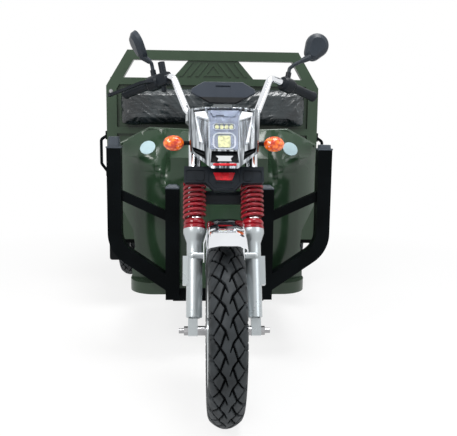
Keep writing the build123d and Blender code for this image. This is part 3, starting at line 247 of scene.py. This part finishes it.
def lens(name, dark, light, scale):
    """A moulded lens whose inner facets catch the light in patches, painted into its colour as patchy highlights.
    """
    made, tree, shader = nodes_of(name)
    facets = tree.nodes.new("ShaderNodeTexVoronoi")
    facets.inputs["Scale"].default_value = scale
    tree.links.new(own_place(tree), facets.inputs["Vector"])
    distance = facets.outputs["Distance"]
    tone = ramp(tree, distance, low=0.15, high=0.75, dark=light, light=dark)
    paint(tree, shader, tone, spread(tree, noise(tree, 60), low=0.08, high=0.2))
    shader.inputs["Coat Weight"].default_value = 0.6
    bump(tree, shader, distance, strength=0.4, depth=0.003)
    return made


def glowing(made, colour, strength):
    """A faint glow in a lamp's own colour."""
    shader = made.node_tree.nodes["Principled BSDF"]
    shader.inputs["Emission Color"].default_value = (*colour, 1)
    shader.inputs["Emission Strength"].default_value = strength
    return made


def vinyl():
    """Black seat vinyl with slanted wrinkles, mirrored about the middle."""
    made, tree, shader = nodes_of("black_vinyl")
    dark, light = (0.005, 0.008, 0.010), (0.018, 0.027, 0.031)
    tone = ramp(tree, noise(tree, 9, 5.0), low=0.35, high=0.7, dark=dark, light=light)
    paint(tree, shader, tone, spread(tree, noise(tree, 12), low=0.2, high=0.36))
    shader.inputs["Coat Weight"].default_value = 0.35
    shader.inputs["Coat Roughness"].default_value = 0.1
    x, y, z = axes(tree)
    mirrored = tree.nodes.new("ShaderNodeCombineXYZ")
    for value, socket in zip((maths(tree, "ABSOLUTE", x), y, z), mirrored.inputs):
        tree.links.new(value, socket)
    wrinkles = noise(
        tree, 75, 3.0, stretch=(0.16, 1, 1), slant=radians(42), place=mirrored.outputs[0]
    )
    bump(tree, shader, wrinkles, strength=0.6, depth=0.006)
    return made


looks = {
    "fork_silver": surface(
        "silver_paint", (0.41, 0.445, 0.46), (0.26, 0.32), metal=0.6, coat=0.4, vary=0.03, blotch=6
    ),
    "chrome": surface("chrome", (0.80, 0.82, 0.85), (0.04, 0.1), metal=1.0, vary=0.03, blotch=12),
    "spring_red": surface(
        "spring_red", (0.22, 0.003, 0.010), (0.14, 0.22), vary=0.2, blotch=30,
        grain=(400, 0.1, 0.0003), specular=0.36,
    ),
    "plastic_black": surface(
        "black_plastic", (0.005, 0.0065, 0.0075), (0.34, 0.5), vary=0.25,
        grain=(1400, 0.12, 0.0003), specular=0.1,
    ),
    "plastic_grey": plastic("grey_plastic", GREY_PLASTIC, (0.38, 0.5), strength=0.12, specular=0.25),
    "shell": plastic(
        "mirror_shell", (0.020, 0.027, 0.036), (0.36, 0.48), strength=0.1, specular=0.25
    ),
    "cap": plastic("bar_cap", (0.045, 0.056, 0.070), (0.36, 0.48), strength=0.1, specular=0.3),
    "shroud": plastic(
        "shroud_plastic", (0.008, 0.011, 0.015), (0.3, 0.42), strength=0.1, specular=0.16
    ),
    "mirror": surface("mirror_glass", (0.75, 0.78, 0.8), (0.02, 0.05), metal=1.0),
    "steel": surface(
        "plated_steel", (0.40, 0.40, 0.41), (0.22, 0.38), metal=1.0, grain=(700, 0.1, 0.0003)
    ),
    "tyre": surface(
        "tyre_rubber", (0.024, 0.028, 0.031), (0.5, 0.7), vary=0.3, blotch=22,
        grain=(700, 0.25, 0.0006), specular=0.2,
    ),
    # Painted shade: a far darker copy of the tyre rubber for the tread's groove floors, standing in for the shade
    # inside the grooves
    "groove": surface(
        "tread_groove_painted_shade", (0.003, 0.0035, 0.004), (0.8, 0.9), vary=0.3, blotch=22,
        grain=(700, 0.2, 0.0005), specular=0.02,
    ),
    "clear": glass("clear_lens", (0.97, 0.98, 1.0), rough=0.02, clear=1.0, ior=1.25),
    "lamp_white": glowing(
        surface("light_guide", (0.85, 0.87, 0.88), (0.15, 0.25), coat=0.5, vary=0.04),
        colour=(1, 1, 1), strength=0.1,
    ),
    "disc": surface(
        "pale_disc", (0.36, 0.49, 0.53), (0.3, 0.4), vary=0.05, blotch=30, grain=(500, 0.05, 0.0002)
    ),
    "lamp_silver": surface(
        "lamp_silver", (0.25, 0.29, 0.38), (0.12, 0.3), metal=0.35, coat=0.8, vary=0.25, blotch=24,
        grain=(120, 0.2, 0.001),
    ),
    "led_yellow": glowing(
        surface("led_yellow", (0.62, 0.62, 0.33), (0.2, 0.4), vary=0.35, blotch=110),
        colour=(1, 0.95, 0.6), strength=0.05,
    ),
    # Painted reflections: the cowl's colour runs in dark and light streaks
    "cowl_silver": reflection_streaked(
        "cowl_silver", (0.06, 0.068, 0.075), (0.66, 0.70, 0.74), rough=(0.06, 0.2),
        stretch=(1, 0.08, 0.06), scale=130, low=0.4, high=0.64,
    ),
    "amber": glowing(
        lens("amber_lens", (0.42, 0.018, 0.0), (1.0, 0.22, 0.010), scale=95),
        colour=(1.0, 0.13, 0.004), strength=0.06,
    ),
    "lamp_red": surface(
        "red_lens", (0.50, 0.010, 0.018), (0.15, 0.28), vary=0.3, blotch=60,
        grain=(300, 0.2, 0.0005), specular=0.4,
    ),
    "paint_green": surface(
        "green_paint", GREEN, (0.28, 0.4), coat=0.15, vary=0.1, blotch=5,
        grain=(500, 0.05, 0.0003), specular=0.35,
    ),
    "gloss_green": surface(
        "green_panel", DEEP_GREEN, (0.15, 0.24), vary=0.1, blotch=5,
        grain=(60, 0.04, 0.0008), specular=0.42,
    ),
    "paint_black": surface(
        "black_paint", BLACK_PAINT, (0.3, 0.42), vary=0.3, blotch=8,
        grain=(600, 0.08, 0.0003), specular=0.045,
    ),
    "screen": surface("screen", (0.008, 0.01, 0.014), (0.06, 0.12), coat=0.8, vary=0.2, blotch=60),
    "leather": vinyl(),
}

# The pod's painted shade starts a little above its foot, under its lower lip
POD_LOW, POD_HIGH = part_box("instrument_pod")
POD_SHADE_LINE = POD_LOW.z + 0.3 * (POD_HIGH.z - POD_LOW.z)
looks["pod"] = shaded_below("pod_painted_shade", POD_SHADE_LINE, GREY_PLASTIC, (0.004, 0.005, 0.006))

# Nodes whose look is another than their slot's
own_look = {
    "instrument_pod": "pod",
    "mirrors": "shell",
    "yoke_shroud": "shroud",
    "hand_controls": "shroud",
    "bar_caps": "cap",
}


# Dressing a piece


def wear(obj, look, body=None):
    """Gives a piece its material and, where it is the scene's own and its body."""
    obj.data.materials.clear()
    obj.data.materials.append(looks[look])
    if body:
        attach(obj, body)


def soften(obj):
    """Smooth faces all over."""
    for polygon in obj.data.polygons:
        polygon.use_smooth = True


def smooth(obj, angle=MESH_CREASE):
    """Smooth faces that keep hard edges hard."""
    soften(obj)
    mesh = bmesh.new()
    mesh.from_mesh(obj.data)
    for edge in mesh.edges:
        if len(edge.link_faces) == 2 and edge.calc_face_angle(0) > radians(angle):
            edge.smooth = False
    mesh.to_mesh(obj.data)
    mesh.free()


for name, node in nodes.items():
    wear(node, own_look.get(name, slot_of[name]))
    soften(node)
    weld = node.modifiers.new("weld", "WELD")
    weld.merge_threshold = WELD_GAP
    crease = node.modifiers.new("crease", "EDGE_SPLIT")
    crease.split_angle = radians(CAD_CREASE)


# Mesh helpers


def linked(name, data):
    """A new object in the scene that shows the data."""
    obj = bpy.data.objects.new(name, data)
    bpy.context.scene.collection.objects.link(obj)
    return obj


def new_object(name, vertices, faces):
    """An object made of points and faces."""
    mesh = bpy.data.meshes.new(name)
    mesh.from_pydata([tuple(v) for v in vertices], [], faces)
    mesh.update()
    return linked(name, mesh)


def from_bmesh(name, mesh):
    """An object made of a bmesh, which is freed."""
    data = bpy.data.meshes.new(name)
    mesh.to_mesh(data)
    mesh.free()
    return linked(name, data)


def facing(place, normal):
    """A matrix at a place whose Z looks along the normal."""
    z = Vector(normal).normalized()
    x = Vector((0, 0, 1)).cross(z)
    x = x.normalized() if x.length > 1e-4 else Vector((1, 0, 0))
    y = z.cross(x)
    return Matrix.Translation(place) @ Matrix((x, y, z)).transposed().to_4x4()


def lathe(mesh, matrix, profile, sides):
    """Adds a turned solid: (radius, height) pairs along the matrix's Z."""
    rings = []
    for radius, height in profile:
        ring = []
        for i in range(sides):
            angle = 2 * pi * i / sides
            place = Vector((radius * cos(angle), radius * sin(angle), height))
            ring.append(mesh.verts.new(matrix @ place))
        rings.append(ring)
    for low, high in zip(rings, rings[1:]):
        for i in range(sides):
            j = (i + 1) % sides
            mesh.faces.new((low[i], low[j], high[j], high[i]))
    mesh.faces.new(list(reversed(rings[0])))
    mesh.faces.new(rings[-1])


def slab(mesh, half, profile):
    """Adds a bar across X whose outline is (y, z) pairs."""
    left = [mesh.verts.new((-half, y, z)) for y, z in profile]
    right = [mesh.verts.new((half, y, z)) for y, z in profile]
    mesh.faces.new(left)
    mesh.faces.new(list(reversed(right)))
    for i in range(len(profile)):
        j = (i + 1) % len(profile)
        mesh.faces.new((left[j], left[i], right[i], right[j]))


def front_of(node, x, z):
    """Where a CAD node's front is met at a width and height, and its outward normal."""
    mesh = bmesh.new()
    mesh.from_mesh(nodes[node].data)
    tree = BVHTree.FromBMesh(mesh)
    backward = Vector((0, 1, 0))
    place, normal, _, _ = tree.ray_cast(Vector((x, cad_box[0][1], z)), backward)
    mesh.free()
    if normal.dot(backward) > 0:
        normal = -normal
    return place, normal


# Tyres, in metres: section sizes, then the grid that carves the tread

TYRE_RADIUS, RIM_EDGE = 0.254, 0.1623
CROWN_HALF, CROWN_EDGE, CROWN_REACH = 0.037, 0.238, 1.06
BEAD_HALF, BEAD_DROP = 0.030, 0.0085
WALL_HALF = 0.049
TREAD_DEPTH, GROOVE_BLUR = 0.0075, 0.0012
# The second share: how deep a point must be cut before its faces take the painted groove shade
SIDE_SHARE, GROOVE_SHADE_SHARE = 0.6, 0.6
REPEATS, STEPS, ACROSS = 28, 34, 54
PITCH = 2 * pi * TYRE_RADIUS / REPEATS

# Grooves of one side: (reach from the middle, turn in pitches, half width in metres) at each bend
HOOK = ((1.35, -0.42, 0.0020), (0.95, -0.06, 0.0019), (0.26, 0.54, 0.0028), (0.06, 0.90, 0.0010))
BRACE = ((0.24, 0.60, 0.0028), (0.55, 1.22, 0.0022), (0.98, 1.72, 0.0013), (1.35, 2.10, 0.0012))


def groove_gap(line, reach, turn):
    """How far a place lies from a groove's edge, in metres; below 0 in the groove."""
    gaps = []
    for (r0, t0, w0), (r1, t1, w1) in zip(line, line[1:]):
        dx, dy = (r1 - r0) * CROWN_HALF, (t1 - t0) * PITCH
        px, py = (reach - r0) * CROWN_HALF, (turn - t0) * PITCH
        share = min(1.0, max(0.0, (px * dx + py * dy) / (dx * dx + dy * dy)))
        gap = ((px - share * dx) ** 2 + (py - share * dy) ** 2) ** 0.5
        gaps.append(gap - w0 - share * (w1 - w0))
    return min(gaps)


def tread(turn, across):
    """How deep the tread is cut at a place, from 0 to 1."""
    shift = 0.5 if across > 0 else 0.0
    reach = abs(across) / CROWN_HALF
    place = (turn + shift) % 1.0
    gap = min(groove_gap(line, reach, place + k) for line in (HOOK, BRACE) for k in (-1, 0, 1, 2))
    return min(1.0, max(0.0, 0.5 - gap / GROOVE_BLUR))


def tyre_section():
    """A tyre's whole outline: (across, radius, share of the tread's depth)."""
    wall = (
        (0.0418, 0.2335, 1.0), (0.0448, 0.2275, 0.9), (0.0468, 0.2215, 0.7), (0.0484, 0.208, 0.3),
        (0.0478, 0.196, 0.0), (0.0455, 0.183, 0.0), (0.0405, 0.171, 0.0), (0.037, RIM_EDGE, 0.0),
    )
    crown = []
    for i in range(ACROSS + 1):
        x = CROWN_HALF * CROWN_REACH * (2 * i / ACROSS - 1)
        rise = (TYRE_RADIUS - CROWN_EDGE) * (1 - (x / CROWN_HALF) ** 2)
        crown.append((x, CROWN_EDGE + rise, 1.0))
    inside = [(side * BEAD_HALF, RIM_EDGE - BEAD_DROP, 0.0) for side in (1, -1)]
    return [(-x, r, share) for x, r, share in reversed(wall)] + crown + list(wall) + inside


def carved_rows(section):
    """One repeat of the tread as rows of (across, radius), and whether each point is deep enough in it to take the
    painted groove shade.
    """
    rows, deep = [], []
    for k in range(STEPS):
        row = []
        for x, radius, share in section:
            depth = TREAD_DEPTH * share * tread(-k / STEPS, x) if share else 0.0
            lean = min(1.0, abs(x) / WALL_HALF) ** 2
            side = 1 if x > 0 else -1
            row.append((x - depth * lean * side, radius - depth * (1 - SIDE_SHARE * lean)))
            deep.append(depth > GROOVE_SHADE_SHARE * TREAD_DEPTH)
        rows.append(row)
    return rows, deep


def tyre(name, hub, body, node):
    """A tyre with a carved block tread, from bead to bead."""
    section = tyre_section()
    count = len(section)
    rows, deep = carved_rows(section)
    around = REPEATS * STEPS
    points, faces = [], []
    for k in range(around):
        angle = 2 * pi * k / around
        for x, radius in rows[k % STEPS]:
            points.append((hub.x + x, hub.y + radius * sin(angle), hub.z + radius * cos(angle)))
        here, ahead = k * count, ((k + 1) % around) * count
        for i in range(count):
            j = (i + 1) % count
            faces.append((here + i, here + j, ahead + j, ahead + i))
    obj = new_object(name, points, faces)
    smooth(obj, TYRE_CREASE)
    wear(obj, "tyre", body)
    # Faces cut deep into the tread take the painted groove shade
    obj.data.materials.append(looks["groove"])
    for polygon in obj.data.polygons:
        if sum(deep[corner % len(deep)] for corner in polygon.vertices) > 2:
            polygon.material_index = 1
    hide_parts(node)


tyre("front_tyre_tread", FRONT_HUB, "front_wheel", "front_tyre")
tyre("left_tyre_tread", places["rear_wheel_left_spin"], "rear_wheel_left", "rear_tyre_left")
tyre("right_tyre_tread", places["rear_wheel_right_spin"], "rear_wheel_right", "rear_tyre_right")


# Cushions, in metres

CLOTH_PRESSURE, CLOTH_FRAMES = 4, 20
SPILL = 0.006
CHANNELS = (-0.22, 0.0, 0.22)
CHANNEL_DEPTH, CHANNEL_HALF = 0.008, 0.010

# Creases of the backrest: scales across and along them, and a seed, for each kind
CREASE_MIDDLE, LEAN_LEFT, LEAN_RIGHT = -0.05, 0.9, -0.8
BROAD, BROAD_HEIGHT = (9, 2.5, 3.0), 0.006
RIDGES, RIDGE_HEIGHT = (26, 5, 7.0), 0.004
FINE, FINE_HEIGHT = (60, 9, 11.0), 0.0015


def inflate(obj, limit):
    """Swells a pad with cloth under pressure, no point moving further than the limit."""
    before = [v.co.copy() for v in obj.data.vertices]
    cloth = obj.modifiers.new("cloth", "CLOTH")
    cloth.settings.use_pressure = True
    cloth.settings.uniform_pressure_force = CLOTH_PRESSURE
    cloth.settings.effector_weights.gravity = 0
    scene = bpy.context.scene
    scene.frame_start = 1
    scene.frame_end = CLOTH_FRAMES
    for step in range(1, CLOTH_FRAMES + 1):
        scene.frame_set(step)
    shaped = obj.evaluated_get(bpy.context.evaluated_depsgraph_get())
    after = [v.co.copy() for v in shaped.data.vertices]
    obj.modifiers.clear()
    for vertex, old, new in zip(obj.data.vertices, before, after):
        move = new - old
        vertex.co = old + move * min(1.0, limit / max(move.length, 1e-6))


def remeshed(obj, voxel):
    """Gives a pad an even mesh."""
    remesh = obj.modifiers.new("remesh", "REMESH")
    remesh.mode = "VOXEL"
    remesh.voxel_size = voxel
    shaped = obj.evaluated_get(bpy.context.evaluated_depsgraph_get())
    data = bpy.data.meshes.new_from_object(shaped)
    obj.modifiers.clear()
    obj.data = data


def cushion(name, node, body, inset, voxel, shape, limit):
    """A stuffed vinyl pad in its CAD node's place."""
    low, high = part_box(node)
    middle, size = (low + high) / 2, high - low
    source = nodes[node].data
    faces = [tuple(polygon.vertices) for polygon in source.polygons]
    obj = new_object(name, [vertex.co for vertex in source.vertices], faces)
    for vertex in obj.data.vertices:
        place = vertex.co - middle
        vertex.co = middle + Vector([place[i] * (1 - 2 * inset / size[i]) for i in range(3)])
    remeshed(obj, voxel)
    inflate(obj, limit)
    for vertex in obj.data.vertices:
        vertex.co += shape(vertex.co - middle)
        for i in range(3):
            vertex.co[i] = min(max(vertex.co[i], low[i] - SPILL), high[i] + SPILL)
    soften(obj)
    wear(obj, "leather", body)
    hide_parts(node)


def folds(across, along, kind):
    """Noise drawn out along the creases."""
    across_scale, along_scale, seed = kind
    return perlin(Vector((across * across_scale, along * along_scale, seed)))


def back_shape(place):
    """The creases of a tight cover: slanted ridges that lean one way on each half."""
    lean = LEAN_LEFT if place.x > CREASE_MIDDLE else LEAN_RIGHT
    along = place.x + lean * place.z
    across = place.z - lean * place.x
    broad = folds(across, along, BROAD)
    ridge = 1 - 2 * abs(folds(across, along, RIDGES))
    fine = 1 - 2 * abs(folds(across, along, FINE))
    height = BROAD_HEIGHT * broad + RIDGE_HEIGHT * ridge ** 3 + FINE_HEIGHT * fine
    return Vector((0, -height, 0))


def seat_shape(place):
    """The three sewn channels in the seat's top."""
    lift = 0.0
    if place.z > 0:
        for x in CHANNELS:
            lift -= CHANNEL_DEPTH * max(0.0, 1 - abs(place.x - x) / CHANNEL_HALF)
    return Vector((0, 0, lift))


cushion(
    "back_cushion", "backrest", "chassis",
    inset=0.010, voxel=0.004, shape=back_shape, limit=0.012,
)
cushion(
    "seat_pad", "seat_cushion", "seat",
    inset=0.008, voxel=0.006, shape=seat_shape, limit=0.014,
)


# Small fittings, in metres

DISC_HEIGHT, DISC_PLACES = 0.729, (("left", 0.247), ("right", -0.245))
BOLT_X, BOLT_HEIGHTS = 0.478, (0.62, 0.96)
PLATE_BACK, PLATE_STEP, PLATE_THICK, PLATE_ROUND = 0.006, 0.014, 0.004, 0.0012
PLATE_HALF, HANGER_HALF = 0.058, 0.018
HANGER_UP, HANGER_DOWN = 0.05, 0.03

# How far the plate's four bends lie below the shroud's foot
PLATE_DROPS = (0.004, 0.017, 0.041, 0.046)

# Turned outlines: (radius, height) pairs above the face that each stands on
DISC = ((0.027, -0.002), (0.027, 0.0008), (0.0263, 0.0014))
WASHER = ((0.00875, -0.001), (0.00875, 0.00154))
BOLT_HEAD = ((0.007, 0.0014), (0.007, 0.00525), (0.00602, 0.0063))


def discs():
    """A plain pale disc on each leg shield's hood."""
    for label, x in DISC_PLACES:
        place, normal = front_of("leg_shields", x, DISC_HEIGHT)
        mesh = bmesh.new()
        lathe(mesh, facing(place, normal), DISC, sides=48)
        obj = from_bmesh(f"disc_{label}", mesh)
        smooth(obj)
        wear(obj, "disc", "chassis")


def add_bolt(mesh, place, normal):
    """A washer and a hexagon head with a bevelled top."""
    matrix = facing(place, normal)
    lathe(mesh, matrix, WASHER, sides=20)
    lathe(mesh, matrix, BOLT_HEAD, sides=6)


def bolts():
    """Hexagon heads where the headboard is bolted to its posts."""
    mesh = bmesh.new()
    for side in (1, -1):
        for z in BOLT_HEIGHTS:
            add_bolt(mesh, *front_of("headboard", side * BOLT_X, z))
    obj = from_bmesh("bolts_chassis", mesh)
    smooth(obj)
    wear(obj, "steel", "chassis")


def fork_plate():
    """A bent black plate behind the springs, hung from the fork's lower clamp."""
    shroud_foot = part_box("yoke_shroud")[0].z
    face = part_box("fork_springs")[1].y + PLATE_BACK
    bent, back = face - PLATE_STEP, face + PLATE_THICK
    bends = [shroud_foot - drop for drop in PLATE_DROPS]
    head, foot = shroud_foot + HANGER_UP, shroud_foot - HANGER_DOWN
    mesh = bmesh.new()
    slab(mesh, PLATE_HALF, list(zip((face, bent, bent, face), bends)))
    slab(mesh, HANGER_HALF, [(back, head), (face, head), (face, foot), (back, foot)])
    bmesh.ops.recalc_face_normals(mesh, faces=mesh.faces)
    bmesh.ops.bevel(mesh, geom=mesh.edges[:], offset=PLATE_ROUND, segments=2, affect="EDGES")
    obj = from_bmesh("fork_plate", mesh)
    smooth(obj)
    wear(obj, "shroud", "steering")


discs()
bolts()
fork_plate()


# Stage

FLOOR_HALF = 12
FLOOR_NEAR, FLOOR_FAR = 0.9, 2.2
NEAR_GLOW, FAR_GLOW = 0.8, 1.0
WORLD_LIGHT, WORLD_SEEN = 0.38, 1.0
AIM = (0, -0.4, 0.6)


def lit_floor():
    """A pale floor that keeps the object's shadow and fades to white far out."""
    made, tree, shader = nodes_of("floor")
    shader.inputs["Base Color"].default_value = (0.9, 0.9, 0.9, 1)
    shader.inputs["Roughness"].default_value = 0.9
    shader.inputs["Specular IOR Level"].default_value = 0.0
    glow = tree.nodes.new("ShaderNodeEmission")
    distance = tree.nodes.new("ShaderNodeVectorMath")
    distance.operation = "LENGTH"
    tree.links.new(own_place(tree), distance.inputs[0])
    fade = spread(tree, distance.outputs["Value"], NEAR_GLOW, FAR_GLOW, FLOOR_NEAR, FLOOR_FAR)
    mix = tree.nodes.new("ShaderNodeMixShader")
    tree.links.new(maths(tree, "MULTIPLY", looked_at(tree), fade), mix.inputs[0])
    tree.links.new(shader.outputs["BSDF"], mix.inputs[1])
    tree.links.new(glow.outputs["Emission"], mix.inputs[2])
    tree.links.new(mix.outputs["Shader"], tree.nodes["Material Output"].inputs["Surface"])
    return made


corners = [(x * FLOOR_HALF, y * FLOOR_HALF, 0) for x, y in ((-1, -1), (1, -1), (1, 1), (-1, 1))]
floor = new_object("floor", corners, [(0, 1, 2, 3)])
floor.data.materials.append(lit_floor())


def area(name, place, target, size, power, colour=(1, 1, 1)):
    """A soft square light."""
    light = bpy.data.lights.new(name, "AREA")
    light.size = size
    light.energy = power
    light.color = colour
    obj = linked(name, light)
    obj.location = place
    obj.rotation_euler = (Vector(target) - Vector(place)).to_track_quat("-Z", "Y").to_euler()


area("key", (-2.4, -3.6, 3.4), AIM, size=1.8, power=130, colour=(1.0, 0.98, 0.96))
area("fill", (3.0, -3.0, 2.4), AIM, size=2.2, power=40, colour=(0.94, 0.97, 1.0))
area("top", (0.6, -1.2, 4.0), (0.2, -0.6, 0.6), size=1.6, power=120)


def build_world():
    """White where the camera or a reflection looks, dimmer as a light."""
    world = bpy.data.worlds.new("pale")
    world.use_nodes = True
    tree = world.node_tree
    back = tree.nodes["Background"]
    back.inputs["Color"].default_value = (1, 1, 1, 1)
    strength = spread(tree, looked_at(tree), WORLD_LIGHT, WORLD_SEEN, 0.0, 1.0)
    tree.links.new(strength, back.inputs["Strength"])
    bpy.context.scene.world = world


def build_camera():
    """The photograph's view."""
    data = bpy.data.cameras.new("camera")
    data.lens = LENS
    data.sensor_width = SENSOR
    data.sensor_fit = "HORIZONTAL"
    camera = linked("camera", data)
    camera.matrix_world = (
        Matrix.Translation((CAMERA_X, FRONT_HUB.y - CAMERA_AHEAD, CAMERA_HEIGHT))
        @ Matrix.Rotation(radians(-YAW), 4, "Z")
        @ Matrix.Rotation(radians(90 - PITCH_DOWN), 4, "X")
        @ Matrix.Rotation(radians(ROLL), 4, "Z")
    )
    bpy.context.scene.camera = camera


build_world()
build_camera()
bpy.context.scene.view_settings.view_transform = "Standard"
